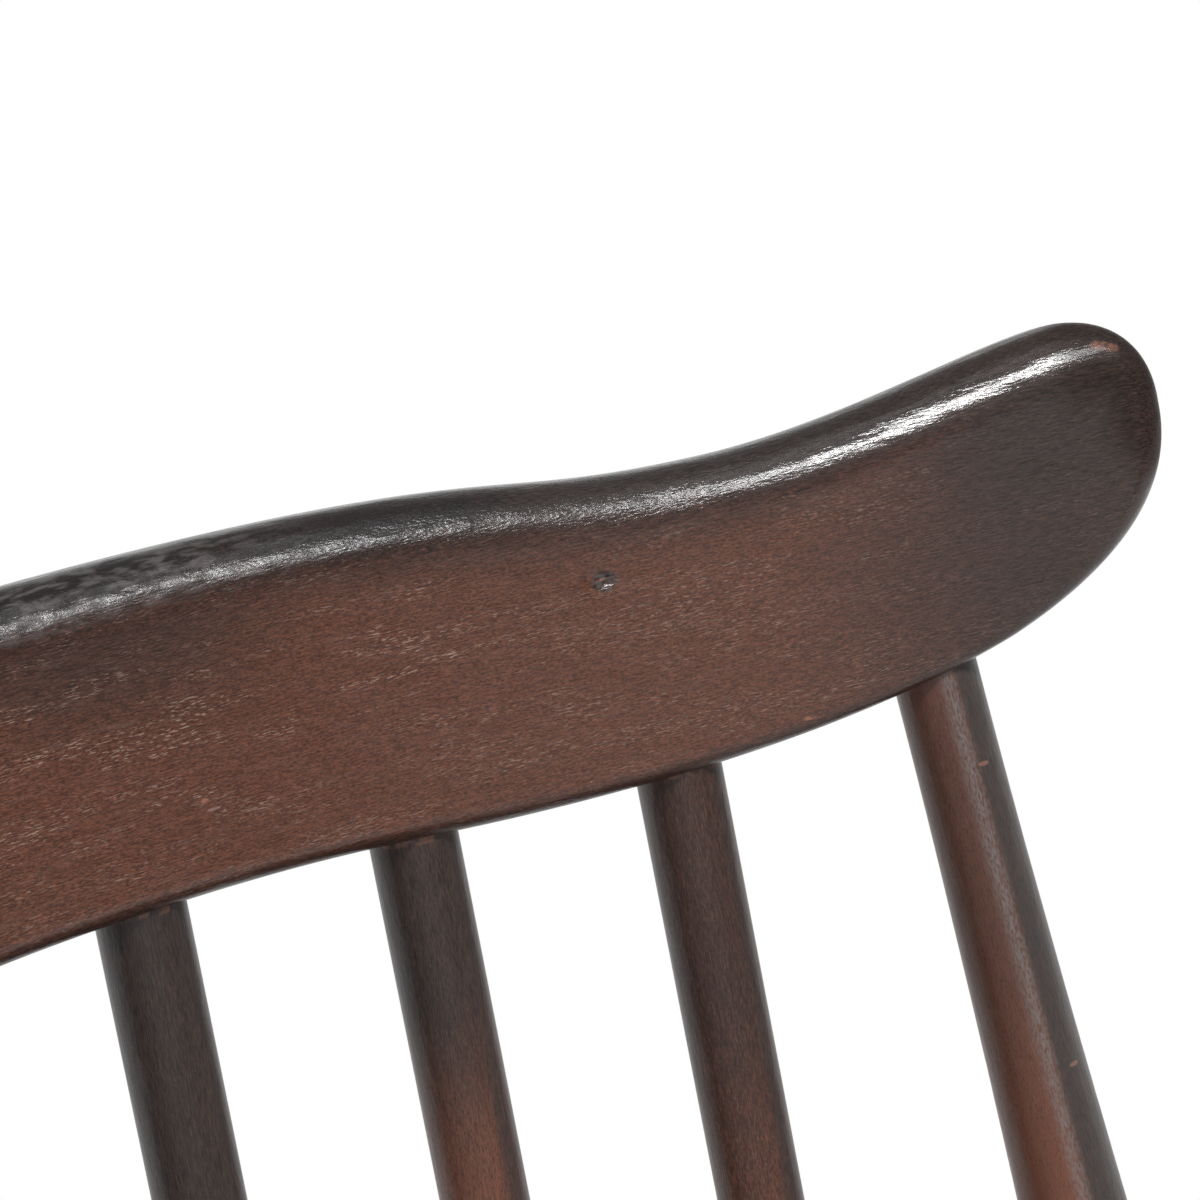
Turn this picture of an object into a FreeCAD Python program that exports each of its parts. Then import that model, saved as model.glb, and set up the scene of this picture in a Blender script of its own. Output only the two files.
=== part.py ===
import FreeCAD, Part
import math
import os

Vector = FreeCAD.Vector

# A stick-back Windsor chair: saddled plank seat, five rods and two posts under a bent crest rail,
# four splayed legs wedged through the seat, and stretchers in the shape of an H.
# Millimetres. +X is right as seen from the front, +Y is towards the back, +Z is up.

# Seat plank
SEAT_HEIGHT = 440.0
SEAT_THICKNESS = 40.0
SEAT_DEPTH = 404.0
SEAT_FRONT_WIDTH = 444.0
SEAT_REAR_WIDTH = 424.0
SEAT_FRONT_BULGE = 24.0
SEAT_FRONT_CORNER = 70.0
SEAT_REAR_CORNER = 55.0
SEAT_TOP_ROUND = 8.0
SEAT_BEVEL_WIDTH = 26.0
SEAT_BEVEL_HEIGHT = 14.0
SEAT_EDGE_EASE = 4.0

# Saddle hollow in the top of the seat
DISH_DEPTH = 13.0
DISH_CENTRE_FROM_FRONT = 225.0
DISH_HALF_WIDTH = 186.0
DISH_BACK_REACH = 112.0
DISH_FRONT_REACH = 380.0
DISH_BLEND = 1.6
DISH_GRID_STEP = 20.0
POMMEL_HEIGHT = 7.0
POMMEL_HALF_WIDTH = 44.0
POMMEL_LENGTH = 190.0

# Line of the back sticks on the seat, an arc seen from above
STICK_ARC_RADIUS = 380.0
STICK_MARGIN = 34.0
ROD_COUNT = 5
ROD_FOOT_PITCH = 54.5
POST_FOOT_ARC = 185.5

# Back: recline, and the places of the sticks along the bent rail
BACK_RECLINE = 16.0
RAIL_LIFT = 290.0
ROD_TOP_PITCH = 52.5
POST_TOP_ARC = 157.5

# Crest rail: thickness, bend, and a serpentine front view drawn between its turning points,
# with the reach of the curve on each side of them
RAIL_RADIUS = 500.0
RAIL_THICKNESS = 21.0
RAIL_HALF_LENGTH = 200.2
CREST_HEIGHT = 58.4
CREST_REACH = 86.2
DIP_OFFSET = 119.8
DIP_HEIGHT = 50.9
DIP_REACH_IN = 42.1
DIP_REACH_OUT = 27.7
EAR_OFFSET = 186.9
EAR_HEIGHT = 60.9
EAR_REACH_IN = 11.4
EAR_REACH_OUT = 7.5
TIP_HEIGHT = 43.9
TIP_REACH_UP = 10.8
TIP_REACH_DOWN = 36.0
SAG_OFFSET = 92.3
SAG_DEPTH = 3.7
SAG_REACH_OUT = 50.9
SAG_REACH_IN = 39.8
MIDDLE_REACH = 48.5

# Rounding of the rail's long edges, and the share of the curve from the tip of the ear to the sag
# over which the large rounding falls to the small one
RAIL_TOP_ROUND = 10.0
RAIL_BOTTOM_ROUND = 4.0
HEEL_SHARE = 0.5

# Rods of the back
ROD_NECK_DIAMETER = 16.0
ROD_SWELL_DIAMETER = 18.6
ROD_FOOT_DIAMETER = 15.0
ROD_SWELL_HEIGHT = 105.0
ROD_STRAIGHT_TOP = 85.0
ROD_SEAT_DEPTH = 26.0

# Posts of the back
POST_NECK_DIAMETER = 16.1
POST_SHOULDER_DIAMETER = 19.9
POST_SHOULDER_DROP = 102.0
POST_SWELL_DIAMETER = 25.6
POST_SWELL_HEIGHT = 100.0
POST_FOOT_DIAMETER = 21.0
POST_SEAT_DEPTH = 30.0

# Joints of the sticks with the rail and the seat
CREST_TENON_DIAMETER = 11.5
CREST_TENON_LENGTH = 26.0
SHOULDER_HOUSING = 3.0
FOOT_CLEARANCE = 1.0
GLUE_GAP = 0.05
PEG_DIAMETER = 6.0
PEG_PAST_TENON = 1.5

# Legs
LEG_FRONT_INSET = 62.0
LEG_REAR_INSET = 114.0
LEG_FRONT_SPREAD = 300.0
LEG_REAR_SPREAD = 244.0
LEG_FRONT_SIDE_SPLAY = 7.5
LEG_FRONT_FORE_SPLAY = 8.5
LEG_REAR_SIDE_SPLAY = 9.0
LEG_REAR_BACK_SPLAY = 16.0
LEG_TENON_TOP_DIAMETER = 23.0
LEG_TENON_BASE_DIAMETER = 27.0
LEG_SWELL_DIAMETER = 35.0
LEG_SWELL_DROP = 150.0
LEG_FOOT_DIAMETER = 22.0
LEG_FOOT_EASE = 1.5

# Wedges in the leg tenons
WEDGE_THICKNESS = 4.0
WEDGE_TIP_THICKNESS = 1.0
WEDGE_LENGTH = 26.0

# Stretchers
SIDE_STRETCHER_FRONT_HEIGHT = 152.0
SIDE_STRETCHER_REAR_HEIGHT = 164.0
STRETCHER_SWELL_DIAMETER = 25.0
STRETCHER_TENON_DIAMETER = 14.5
STRETCHER_SOCKET_PAST = 5.0
STRETCHER_BARE_END = 4.0

# Spare length on cutting tools and on stock that is trimmed later, slack for picking edges,
# and how often a search halves its range
TRIM = 20.0
PICK = 0.5
HALVINGS = 50

UP = Vector(0, 0, 1)
ORIGIN = Vector(0, 0, 0)
SIDES = {"left": -1, "right": 1}


def along(origin, direction):
    """Placement whose own Z axis starts at origin and runs along direction."""
    return FreeCAD.Placement(origin, FreeCAD.Rotation(UP, direction))


def bar(radius, start, end):
    """Round bar of one radius from start to end."""
    return Part.makeCylinder(radius, (end - start).Length, start, end - start)


def spline(points, upright_end=False):
    """Smooth edge through a few points, which may run out upright at the last one."""
    curve = Part.BSplineCurve()
    flags = [False] * (len(points) - 1) + [upright_end]
    curve.interpolate(Points=points, Tangents=[UP] * len(points), TangentFlags=flags)
    return curve.toShape()


def polyline(points):
    return [Part.makeLine(start, end) for start, end in zip(points, points[1:])]


def at(radius, height):
    """Point of a turned piece's section."""
    return Vector(radius, 0, height)


def turned(edges, placement):
    """Solid turned about its own Z axis from the edges of half its section, closed on the axis."""
    points = [vertex.Point for edge in edges for vertex in edge.Vertexes]
    closing = Part.makeLine(points[-1], points[0])
    section = Part.Face(Part.Wire(edges + [closing]))
    solid = section.revolve(ORIGIN, UP, 360)
    solid.Placement = placement
    return solid


def edges_between(solid, low, high):
    """Edges of a solid that lie wholly between two heights."""
    return [edge for edge in solid.Edges if edge.BoundBox.ZMin > low and edge.BoundBox.ZMax < high]


# Seat

def stick_arc_centre():
    return Vector(0, SEAT_DEPTH / 2 - STICK_MARGIN - STICK_ARC_RADIUS, SEAT_HEIGHT)


def stick_foot(arc):
    """Point of the seat where the axis of a back stick meets it."""
    angle = arc / STICK_ARC_RADIUS
    return stick_arc_centre() + Vector(math.sin(angle), math.cos(angle), 0) * STICK_ARC_RADIUS


def seat_outline():
    """Plan of the seat at its underside: front arc, straight sides, rear arc round the sticks."""
    bottom = SEAT_HEIGHT - SEAT_THICKNESS
    front = -SEAT_DEPTH / 2
    back = SEAT_DEPTH / 2
    half_front = SEAT_FRONT_WIDTH / 2
    half_rear = SEAT_REAR_WIDTH / 2
    front_corner = front + SEAT_FRONT_BULGE
    rear_radius = STICK_ARC_RADIUS + STICK_MARGIN
    rear_corner = stick_arc_centre().y + math.sqrt(rear_radius ** 2 - half_rear ** 2)
    front_left = Vector(-half_front, front_corner, bottom)
    front_right = Vector(half_front, front_corner, bottom)
    rear_left = Vector(-half_rear, rear_corner, bottom)
    rear_right = Vector(half_rear, rear_corner, bottom)
    front_edge = Part.Arc(front_left, Vector(0, front, bottom), front_right).toShape()
    rear_edge = Part.Arc(rear_right, Vector(0, back, bottom), rear_left).toShape()
    right_edge = Part.makeLine(front_right, rear_right)
    left_edge = Part.makeLine(rear_left, front_left)
    return Part.Wire([front_edge, right_edge, rear_edge, left_edge])


def seat_top(x, y):
    """Height of the saddled top: a bowl that runs out at the front on both sides of a pommel."""
    from_front = y + SEAT_DEPTH / 2
    offset = from_front - DISH_CENTRE_FROM_FRONT
    reach = DISH_BACK_REACH if offset > 0 else DISH_FRONT_REACH
    bowl = DISH_DEPTH * (1 - (x / DISH_HALF_WIDTH) ** 2 - (offset / reach) ** 2)
    forward = min(max(1 - from_front / POMMEL_LENGTH, 0), 1)
    ridge = POMMEL_HEIGHT * forward * math.exp(-(x / POMMEL_HALF_WIDTH) ** 2)
    depth = DISH_BLEND * math.log1p(math.exp((bowl - ridge) / DISH_BLEND))
    return SEAT_HEIGHT - depth


def make_above_seat():
    """Everything over the saddled top, as a cutting tool."""
    half = max(SEAT_DEPTH, SEAT_FRONT_WIDTH, SEAT_REAR_WIDTH) / 2 + TRIM
    steps = math.ceil(2 * half / DISH_GRID_STEP)
    stations = [-half + 2 * half * i / steps for i in range(steps + 1)]
    surface = Part.BSplineSurface()
    surface.interpolate([[Vector(x, y, seat_top(x, y)) for y in stations] for x in stations])
    return surface.toShape().extrude(Vector(0, 0, SEAT_THICKNESS + TRIM))


def upright_edges(solid, front):
    """Upright corner edges of the plank, at the front or at the rear."""
    upright = [edge for edge in solid.Edges if edge.BoundBox.ZLength > SEAT_THICKNESS / 2]
    return [edge for edge in upright if (edge.CenterOfMass.y < 0) == front]


def make_seat_plank(above_seat):
    """Seat without its sockets: rounded plan, saddled top with a rounded rim, bevelled underside."""
    bottom = SEAT_HEIGHT - SEAT_THICKNESS
    bevel_top = bottom + SEAT_BEVEL_HEIGHT
    plank = Part.Face(seat_outline()).extrude(Vector(0, 0, SEAT_THICKNESS + TRIM))
    plank = plank.makeFillet(SEAT_FRONT_CORNER, upright_edges(plank, True))
    plank = plank.makeFillet(SEAT_REAR_CORNER, upright_edges(plank, False))
    plank = plank.cut(above_seat)
    plank = plank.makeFillet(SEAT_TOP_ROUND, edges_between(plank, bevel_top, SEAT_HEIGHT + PICK))
    lower_rim = edges_between(plank, bottom - PICK, bottom + PICK)
    plank = plank.makeChamfer(SEAT_BEVEL_HEIGHT, SEAT_BEVEL_WIDTH, lower_rim)
    plank = plank.makeFillet(SEAT_EDGE_EASE, edges_between(plank, bevel_top - PICK, bevel_top + PICK))
    return plank


# Crest rail, in its own frame: origin at the middle of its underside, Z up its lean

def rail_placement():
    lift = Vector(0, RAIL_LIFT * math.tan(math.radians(BACK_RECLINE)), RAIL_LIFT)
    return FreeCAD.Placement(stick_foot(0) + lift, FreeCAD.Rotation(Vector(1, 0, 0), -BACK_RECLINE))


def stretch(start, start_reach, end, end_reach):
    """One stretch of the outline between two turning points, as a cubic curve."""
    curve = Part.BezierCurve()
    curve.setPoles([start, start + start_reach, end + end_reach, end])
    return curve


def rail_top_curves(side):
    """Half of the rail's upper outline, from the middle over the dip and the ear to its tip."""
    across = Vector(side, 0, 0)
    crest = UP * CREST_HEIGHT
    dip = across * DIP_OFFSET + UP * DIP_HEIGHT
    ear = across * EAR_OFFSET + UP * EAR_HEIGHT
    tip = across * RAIL_HALF_LENGTH + UP * TIP_HEIGHT
    return [
        stretch(crest, across * CREST_REACH, dip, across * -DIP_REACH_IN),
        stretch(dip, across * DIP_REACH_OUT, ear, across * -EAR_REACH_IN),
        stretch(ear, across * EAR_REACH_OUT, tip, UP * TIP_REACH_UP),
    ]


def rail_under_curves(side):
    """Half of the rail's lower outline, from the tip of the ear over its heel to the middle."""
    across = Vector(side, 0, 0)
    tip = across * RAIL_HALF_LENGTH + UP * TIP_HEIGHT
    sag = across * SAG_OFFSET - UP * SAG_DEPTH
    ear = stretch(tip, UP * -TIP_REACH_DOWN, sag, across * SAG_REACH_OUT)
    heel = ear.copy()
    ear.segment(0, HEEL_SHARE)
    heel.segment(HEEL_SHARE, 1)
    return [ear, heel, stretch(sag, across * -SAG_REACH_IN, ORIGIN, across * MIDDLE_REACH)]


def underside_height(offset):
    """Height of the rail's underside at an offset from the middle, found by halving."""
    curves = rail_under_curves(1)
    nearer = 0.0
    farther = float(len(curves))
    for step in range(HALVINGS):
        place = (nearer + farther) / 2
        index = min(int(place), len(curves) - 1)
        point = curves[index].value(place - index)
        if point.x > offset:
            nearer = place
        else:
            farther = place
    return point.z


def rail_rounding(edge):
    """Radii at the two ends of a long edge of the rail, walking from left to right along the underside."""
    middle = edge.valueAt((edge.FirstParameter + edge.LastParameter) / 2)
    spot = Part.Vertex(middle.x, 0, middle.z)
    ear, heel, level = [curve.toShape() for curve in rail_under_curves(math.copysign(1, middle.x))]
    if min(spot.distToShape(heel)[0], spot.distToShape(level)[0]) < PICK:
        return RAIL_BOTTOM_ROUND, RAIL_BOTTOM_ROUND
    if spot.distToShape(ear)[0] > PICK:
        return RAIL_TOP_ROUND, RAIL_TOP_ROUND
    if middle.x > 0:
        return RAIL_BOTTOM_ROUND, RAIL_TOP_ROUND
    return RAIL_TOP_ROUND, RAIL_BOTTOM_ROUND


def round_rail(board):
    """Rail with its long edges rounded, more over the top and the ears than along the underside."""
    bent_faces = [face for face in board.Faces if isinstance(face.Surface, Part.Cylinder)]
    long_edges = [edge for face in bent_faces for edge in face.Edges]
    radii = []
    for number, edge in enumerate(board.Edges, 1):
        if any(edge.isSame(long_edge) for long_edge in long_edges):
            radii.append((number, *rail_rounding(edge)))
    document = FreeCAD.newDocument("rail")
    base = document.addObject("Part::Feature", "board")
    base.Shape = board
    rounded = document.addObject("Part::Fillet", "rounded")
    rounded.Base = base
    rounded.Edges = radii
    document.recompute()
    rail = rounded.Shape.copy()
    FreeCAD.closeDocument(document.Name)
    return rail


def make_rail_blank():
    """Bent rail without its sockets: the front view carried back through a bent slab."""
    curves = [curve for side in SIDES.values() for curve in rail_top_curves(side) + rail_under_curves(side)]
    outline = Part.Wire(Part.__sortEdges__([curve.toShape() for curve in curves]))
    board = Part.Face(outline).extrude(Vector(0, -RAIL_RADIUS, 0))
    board.translate(Vector(0, RAIL_THICKNESS, 0))
    low = -SAG_DEPTH - TRIM
    height = max(CREST_HEIGHT, EAR_HEIGHT) + TRIM - low
    centre = Vector(0, -RAIL_RADIUS, low)
    outer = Part.makeCylinder(RAIL_RADIUS + RAIL_THICKNESS / 2, height, centre)
    inner = Part.makeCylinder(RAIL_RADIUS - RAIL_THICKNESS / 2, height, centre)
    return round_rail(board.common(outer.cut(inner)))


# Back sticks and the pegs that hold the posts in the rail

def stick_ends(foot_arc, top_arc):
    """Where the axis of a back stick meets the seat and the underside of the rail."""
    angle = top_arc / RAIL_RADIUS
    x = RAIL_RADIUS * math.sin(angle)
    y = RAIL_RADIUS * (math.cos(angle) - 1)
    top = rail_placement().multVec(Vector(x, y, underside_height(abs(x))))
    return stick_foot(foot_arc), top


def stick_direction(foot, top):
    return (top - foot).normalize()


def make_stick(foot, top, foot_diameter, body, seat_depth):
    """Turned stick: plain end in the seat, shaped body, neck let into the rail, and a tenon.

    The plain end reaches far enough above the seat to clear the rim of its slanting socket.
    """
    axis = top - foot
    foot_radius = foot_diameter / 2
    neck_radius = body[-1].x
    tenon_radius = CREST_TENON_DIAMETER / 2
    bare = foot_radius * math.hypot(axis.x, axis.y) / axis.z + FOOT_CLEARANCE
    shoulder = axis.Length + SHOULDER_HOUSING
    end = shoulder + CREST_TENON_LENGTH
    seat_end = polyline([at(0, -seat_depth), at(foot_radius, -seat_depth), at(foot_radius, bare)])
    shaped = spline([at(foot_radius, bare)] + body, True)
    crest_end = polyline([
        body[-1],
        at(neck_radius, shoulder),
        at(tenon_radius, shoulder),
        at(tenon_radius, end),
        at(0, end),
    ])
    return turned(seat_end + [shaped] + crest_end, along(foot, axis))


def make_rod(foot, top):
    """Rod with a slight swell low down and one diameter up to the rail."""
    body = [
        at(ROD_SWELL_DIAMETER / 2, ROD_SWELL_HEIGHT),
        at(ROD_NECK_DIAMETER / 2, (top - foot).Length - ROD_STRAIGHT_TOP),
    ]
    return make_stick(foot, top, ROD_FOOT_DIAMETER, body, ROD_SEAT_DEPTH)


def make_post(foot, top):
    """Outer post, full in its lower half and drawn in towards the rail."""
    length = (top - foot).Length
    body = [
        at(POST_SWELL_DIAMETER / 2, POST_SWELL_HEIGHT),
        at(POST_SHOULDER_DIAMETER / 2, length - POST_SHOULDER_DROP),
        at(POST_NECK_DIAMETER / 2, length),
    ]
    return make_stick(foot, top, POST_FOOT_DIAMETER, body, POST_SEAT_DEPTH)


def seat_socket(foot, top, diameter, depth):
    """Blind socket in the seat for the lower end of a stick."""
    up = stick_direction(foot, top)
    return bar(diameter / 2 + GLUE_GAP, foot - up * depth, foot + up * TRIM)


def rail_socket(foot, top, neck_diameter):
    """Blind socket in the rail, with a shallow housing that takes the shoulder of the stick."""
    up = stick_direction(foot, top)
    shoulder = top + up * SHOULDER_HOUSING
    housing = bar(neck_diameter / 2 + GLUE_GAP, top - up * TRIM, shoulder)
    hole = bar(CREST_TENON_DIAMETER / 2 + GLUE_GAP, top, shoulder + up * CREST_TENON_LENGTH)
    return housing.fuse(hole)


def peg_bar(foot, top, radius):
    """Bar square to the back of the rail, through the middle of a post's tenon."""
    middle = top + stick_direction(foot, top) * (SHOULDER_HOUSING + CREST_TENON_LENGTH / 2)
    own = rail_placement().inverse().multVec(middle)
    outward = Vector(own.x, own.y + RAIL_RADIUS, 0).normalize()
    outward = rail_placement().Rotation.multVec(outward)
    inner = middle - outward * (CREST_TENON_DIAMETER / 2 + PEG_PAST_TENON)
    return bar(radius, inner, middle + outward * RAIL_THICKNESS)


# Legs and their wedges

def leg_line(side, front):
    """Top of a leg's axis at the height of the seat, and its way down for each millimetre of height."""
    if front:
        top = Vector(side * LEG_FRONT_SPREAD / 2, -SEAT_DEPTH / 2 + LEG_FRONT_INSET, SEAT_HEIGHT)
        outward = math.tan(math.radians(LEG_FRONT_SIDE_SPLAY))
        rearward = -math.tan(math.radians(LEG_FRONT_FORE_SPLAY))
    else:
        top = Vector(side * LEG_REAR_SPREAD / 2, SEAT_DEPTH / 2 - LEG_REAR_INSET, SEAT_HEIGHT)
        outward = math.tan(math.radians(LEG_REAR_SIDE_SPLAY))
        rearward = math.tan(math.radians(LEG_REAR_BACK_SPLAY))
    return top, Vector(side * outward, rearward, -1)


def leg_point(side, front, height):
    top, down = leg_line(side, front)
    return top + down * (SEAT_HEIGHT - height)


def tenon_radius(depth, reach):
    """Radius of the tapered leg tenon at a depth below the seat's edge."""
    top = LEG_TENON_TOP_DIAMETER / 2
    base = LEG_TENON_BASE_DIAMETER / 2
    return top + (base - top) * depth / reach


def leg_socket(side, front):
    """Tapered hole through the seat for a leg, longer than the seat is thick."""
    top, down = leg_line(side, front)
    reach = SEAT_THICKNESS * down.Length
    unit = Vector(down).normalize()
    low = tenon_radius(reach + TRIM, reach)
    high = tenon_radius(-TRIM, reach)
    return Part.makeCone(low, high, reach + 2 * TRIM, top + unit * (reach + TRIM), unit * -1)


def make_leg(side, front):
    """Splayed leg with a tapered tenon, a full thigh and a slim foot, cut level with the floor."""
    top, down = leg_line(side, front)
    reach = SEAT_THICKNESS * down.Length
    end = SEAT_HEIGHT * down.Length + TRIM
    foot_radius = LEG_FOOT_DIAMETER / 2
    base = at(LEG_TENON_BASE_DIAMETER / 2, -reach)
    swell = at(LEG_SWELL_DIAMETER / 2, -reach - LEG_SWELL_DROP)
    tenon = polyline([at(0, TRIM), at(tenon_radius(-TRIM, reach), TRIM), base])
    foot = polyline([at(foot_radius, -end), at(0, -end)])
    leg = turned(tenon + [spline([base, swell, at(foot_radius, -end)])] + foot, along(top, down * -1))
    floor_half = LEG_SWELL_DIAMETER + TRIM
    below = Part.makeBox(2 * floor_half, 2 * floor_half, 2 * TRIM)
    below.translate(leg_point(side, front, 0) - Vector(floor_half, floor_half, 2 * TRIM))
    leg = leg.cut(below)
    return leg.makeChamfer(LEG_FOOT_EASE, edges_between(leg, -PICK, PICK))


def make_wedge(side, front):
    """Wedge across a leg's tenon, before it is cut level with the seat."""
    top, down = leg_line(side, front)
    tip = WEDGE_TIP_THICKNESS / 2
    half = WEDGE_THICKNESS / 2
    over = half + (half - tip) * TRIM / WEDGE_LENGTH
    width = LEG_TENON_BASE_DIAMETER
    corners = [(-tip, -WEDGE_LENGTH), (tip, -WEDGE_LENGTH), (over, TRIM), (-over, TRIM)]
    points = [Vector(-width / 2, y, z) for y, z in corners]
    wedge = Part.Face(Part.makePolygon(points + points[:1])).extrude(Vector(width, 0, 0))
    wedge.Placement = along(top, down * -1)
    return wedge.common(leg_socket(side, front))


# Stretchers

def side_stretcher_ends(side):
    """Points on the axes of a front and a rear leg that a side stretcher joins."""
    front = leg_point(side, True, SIDE_STRETCHER_FRONT_HEIGHT)
    return front, leg_point(side, False, SIDE_STRETCHER_REAR_HEIGHT)


def cross_stretcher_ends():
    """Middles of the two side stretchers."""
    left, right = [side_stretcher_ends(side) for side in (-1, 1)]
    return (left[0] + left[1]) / 2, (right[0] + right[1]) / 2


def make_stretcher(start, end, host_diameter):
    """Turned stretcher with a full middle, between the axes of the two pieces that hold it."""
    length = (end - start).Length
    radius = STRETCHER_TENON_DIAMETER / 2
    low = -STRETCHER_SOCKET_PAST
    high = length + STRETCHER_SOCKET_PAST
    bare = host_diameter / 2 + STRETCHER_BARE_END
    first = polyline([at(0, low), at(radius, low), at(radius, bare)])
    body = spline([at(radius, bare), at(STRETCHER_SWELL_DIAMETER / 2, length / 2), at(radius, length - bare)])
    last = polyline([at(radius, length - bare), at(radius, high), at(0, high)])
    return turned(first + [body] + last, along(start, end - start))


def stretcher_socket(start, end, host_diameter):
    """Blind socket at the start of a stretcher, into the piece that holds it."""
    unit = (end - start).normalize()
    radius = STRETCHER_TENON_DIAMETER / 2 + GLUE_GAP
    return bar(radius, start - unit * STRETCHER_SOCKET_PAST, start + unit * host_diameter)


# Assembly

def make_back(nodes):
    """Crest rail, rods, posts and pegs, with the sockets that hold the sticks in rail and seat."""
    blank = make_rail_blank()
    blank.Placement = rail_placement()
    rail = blank
    for index in range(ROD_COUNT):
        step = index - (ROD_COUNT - 1) / 2
        foot, top = stick_ends(step * ROD_FOOT_PITCH, step * ROD_TOP_PITCH)
        nodes["back_rod_%d" % (index + 1)] = make_rod(foot, top)
        rail = rail.cut(rail_socket(foot, top, ROD_NECK_DIAMETER))
        nodes["seat"] = nodes["seat"].cut(seat_socket(foot, top, ROD_FOOT_DIAMETER, ROD_SEAT_DEPTH))
    for name, side in SIDES.items():
        foot, top = stick_ends(side * POST_FOOT_ARC, side * POST_TOP_ARC)
        peg_hole = peg_bar(foot, top, PEG_DIAMETER / 2 + GLUE_GAP)
        nodes["back_post_" + name] = make_post(foot, top).cut(peg_hole)
        nodes["crest_peg_" + name] = peg_bar(foot, top, PEG_DIAMETER / 2).common(blank)
        rail = rail.cut(rail_socket(foot, top, POST_NECK_DIAMETER)).cut(peg_hole)
        nodes["seat"] = nodes["seat"].cut(seat_socket(foot, top, POST_FOOT_DIAMETER, POST_SEAT_DEPTH))
    nodes["crest_rail"] = rail


def make_base(nodes, above_seat):
    """Legs with their wedges, and the stretchers between them."""
    for name, side in SIDES.items():
        front_end, rear_end = side_stretcher_ends(side)
        ends = {"front": (front_end, rear_end), "rear": (rear_end, front_end)}
        for place, (start, end) in ends.items():
            front = place == "front"
            wedge = make_wedge(side, front)
            leg = make_leg(side, front).cut(wedge).cut(above_seat)
            nodes["leg_%s_%s" % (place, name)] = leg.cut(stretcher_socket(start, end, LEG_SWELL_DIAMETER))
            nodes["leg_wedge_%s_%s" % (place, name)] = wedge.cut(above_seat)
            nodes["seat"] = nodes["seat"].cut(leg_socket(side, front))
        nodes["side_stretcher_" + name] = make_stretcher(front_end, rear_end, LEG_SWELL_DIAMETER)
    left, right = cross_stretcher_ends()
    nodes["cross_stretcher"] = make_stretcher(left, right, STRETCHER_SWELL_DIAMETER)
    for name, start, end in (("left", left, right), ("right", right, left)):
        socket = stretcher_socket(start, end, STRETCHER_SWELL_DIAMETER)
        nodes["side_stretcher_" + name] = nodes["side_stretcher_" + name].cut(socket)


def make_chair():
    """All pieces, with the origin on the floor under the middle of the chair's bounding box."""
    above_seat = make_above_seat()
    nodes = {"seat": make_seat_plank(above_seat)}
    make_back(nodes)
    make_base(nodes, above_seat)
    box = Part.makeCompound(list(nodes.values())).optimalBoundingBox(False)
    for shape in nodes.values():
        shape.translate(Vector(0, -(box.YMin + box.YMax) / 2, 0))
    return nodes


def main():
    os.makedirs("parts", exist_ok=True)
    for name, shape in make_chair().items():
        shape.exportStep("parts/%s.step" % name)
        print(name, shape.isValid(), len(shape.Solids), round(shape.Volume))


main()
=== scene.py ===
import math
from types import SimpleNamespace
from typing import NamedTuple

import bmesh
import bpy
import numpy as np
from mathutils import Matrix, Vector
from mathutils.kdtree import KDTree


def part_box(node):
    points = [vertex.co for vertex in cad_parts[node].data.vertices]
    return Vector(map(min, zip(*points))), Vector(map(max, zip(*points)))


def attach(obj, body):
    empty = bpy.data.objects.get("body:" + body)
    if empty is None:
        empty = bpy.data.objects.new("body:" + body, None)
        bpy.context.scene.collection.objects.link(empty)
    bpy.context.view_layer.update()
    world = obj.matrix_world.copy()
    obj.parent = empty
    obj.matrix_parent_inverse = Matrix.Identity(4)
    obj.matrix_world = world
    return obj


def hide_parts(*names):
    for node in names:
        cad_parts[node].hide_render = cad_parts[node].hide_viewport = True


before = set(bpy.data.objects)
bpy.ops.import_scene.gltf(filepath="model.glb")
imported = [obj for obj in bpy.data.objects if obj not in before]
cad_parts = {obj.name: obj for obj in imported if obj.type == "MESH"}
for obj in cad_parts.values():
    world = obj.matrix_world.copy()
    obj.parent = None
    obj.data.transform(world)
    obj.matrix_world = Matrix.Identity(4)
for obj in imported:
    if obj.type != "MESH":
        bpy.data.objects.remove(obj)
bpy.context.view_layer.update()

# Metres, in the frame of the solids: +X right seen from the front, +Y to the back, +Z up. Strengths and
# shares run from 0 to 1. A fade is where something stops showing: it is full up to the first distance and
# gone from the second one on. A rise is where something starts showing, in the same way.

# Crest rail: its bend and thickness, the turning points of its front view with the reach of each curve,
# the rounding of its edges, the share of the heel along which the lower rounding grows into the upper one,
# and how far the sticks go into it
RAIL_RADIUS = 0.5
RAIL_THICKNESS = 0.021
RAIL_FRONT = -RAIL_THICKNESS / 2
RAIL_HALF_LENGTH = 0.2002
CREST_HEIGHT = 0.0584
CREST_REACH = 0.0862
DIP_OFFSET = 0.1198
DIP_HEIGHT = 0.0509
DIP_REACH_IN = 0.0421
DIP_REACH_OUT = 0.0277
EAR_OFFSET = 0.1869
EAR_HEIGHT = 0.0609
EAR_REACH_IN = 0.0114
EAR_REACH_OUT = 0.0075
TIP_HEIGHT = 0.0439
TIP_REACH_UP = 0.0108
TIP_REACH_DOWN = 0.036
SAG_OFFSET = 0.0923
SAG_DEPTH = 0.0037
SAG_REACH_OUT = 0.0509
SAG_REACH_IN = 0.0398
MIDDLE_REACH = 0.0485
RAIL_TOP_ROUND = 0.01
RAIL_BOTTOM_ROUND = 0.004
HEEL_SHARE = 0.5
CREST_TENON_REACH = 0.029

# Rail mesh: columns along it, rows up its front and back, steps round each edge and across the walls,
# points of each curve, and how near to each other points are joined
RAIL_COLUMNS = 700
FRONT_ROWS = 72
BACK_ROWS = 24
ROUND_STEPS = 16
WALL_STEPS = 4
CURVE_POINTS = 400
WELD = 2e-5

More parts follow.
